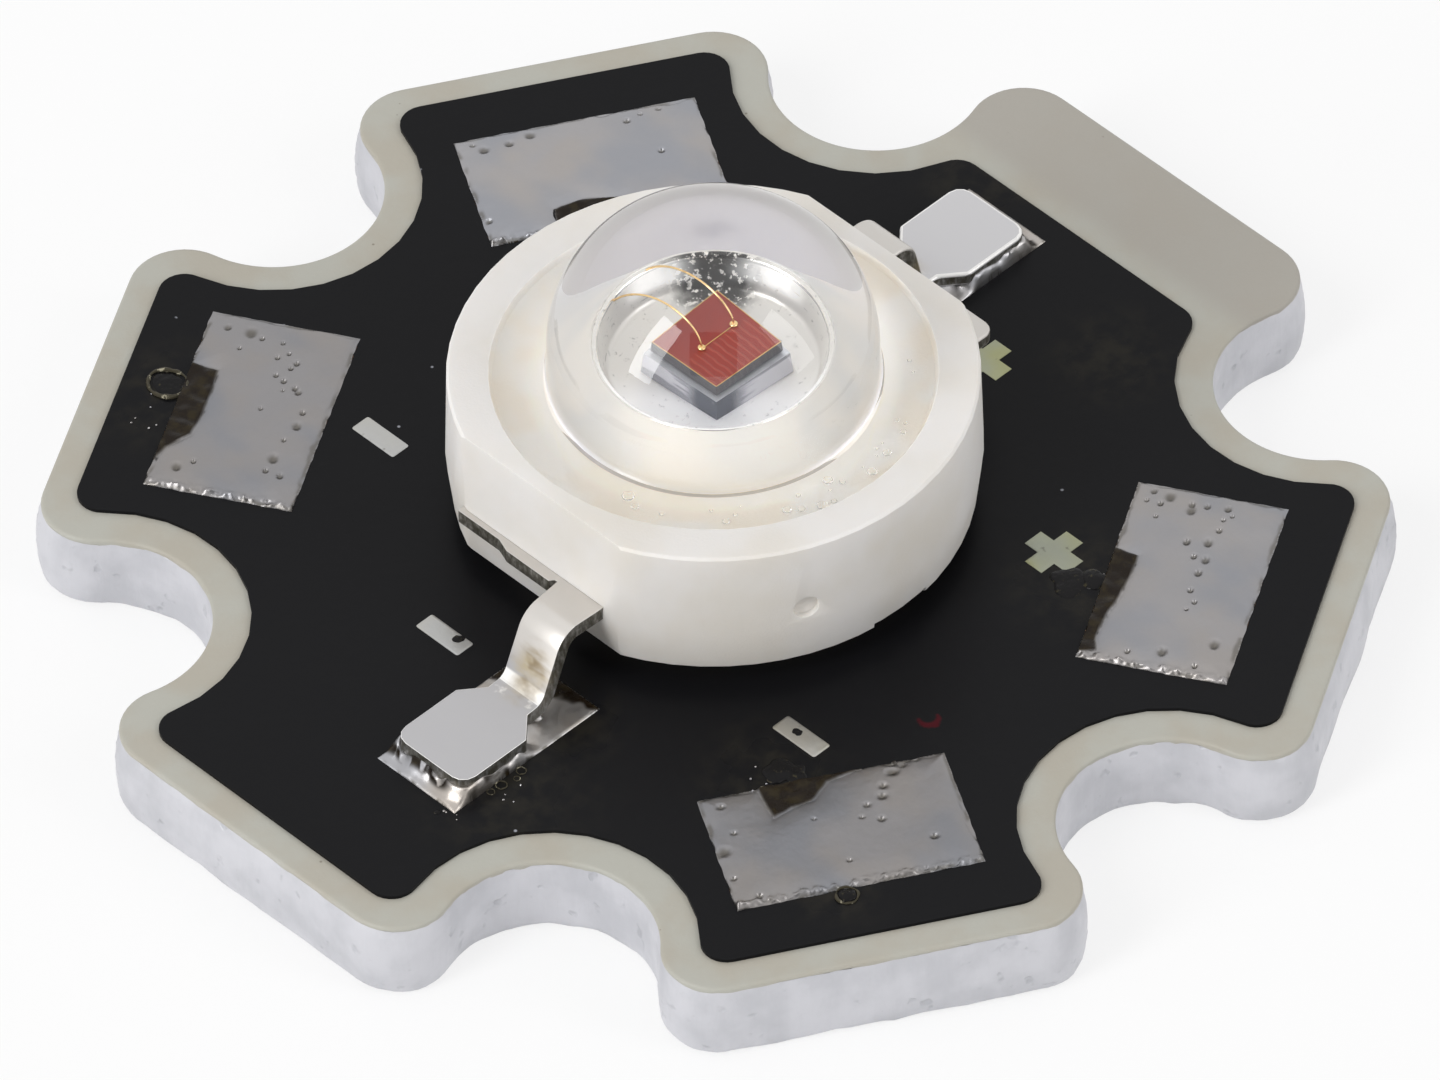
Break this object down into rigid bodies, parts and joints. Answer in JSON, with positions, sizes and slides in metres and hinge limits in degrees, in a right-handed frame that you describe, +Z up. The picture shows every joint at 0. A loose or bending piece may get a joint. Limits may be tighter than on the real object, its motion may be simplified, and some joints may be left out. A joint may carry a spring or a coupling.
{
  "type": "star pcb power led",
  "caption": "Domed power LED emitter with two bent leads, soldered on a flat six-armed metal-core board with open screw notches and solder pads.",
  "frame": {"origin": "centre of the board's underside", "axes": "+Z up through the lens, +X along the anode arm with the wide bare land, arms every 60 degrees"},
  "size_m": [0.0198, 0.0198, 0.0072],
  "materials": {
    "aluminium": "punched, fine vertical striations",
    "cream_dielectric": "satin filled resin",
    "copper_foil": "rolled copper",
    "black_mask": "satin lacquer",
    "tin_solder": "hot-air levelled tin, pitted",
    "tinned_lead": "tin plated copper alloy",
    "white_moulding": "satin moulded",
    "clear_lens": "clear, polished",
    "clear_gel": "clear silicone",
    "silvered_slug": "silver plated copper",
    "submount": "lapped silicon",
    "silver_adhesive": "silver filled adhesive",
    "red_die": "polished semiconductor",
    "gold_wire": "drawn gold"
  },
  "bodies": {
    "root": {"aluminium_base": "aluminium", "dielectric_layer": "cream_dielectric", "anode_foil": "copper_foil", "cathode_foil": "copper_foil", "thermal_foil": "copper_foil", "solder_mask": "black_mask", "solder_pad_60": "tin_solder", "solder_pad_120": "tin_solder", "solder_pad_240": "tin_solder", "solder_pad_300": "tin_solder", "anode_solder": "tin_solder", "cathode_solder": "tin_solder", "slug_solder": "tin_solder", "anode_lead": "tinned_lead", "cathode_lead": "tinned_lead", "housing": "white_moulding", "lens": "clear_lens", "silicone_gel": "clear_gel", "heat_slug": "silvered_slug", "submount": "submount", "die_attach": "silver_adhesive", "led_die": "red_die", "bond_wire_a": "gold_wire", "bond_wire_b": "gold_wire"}
  },
  "joints": []
}
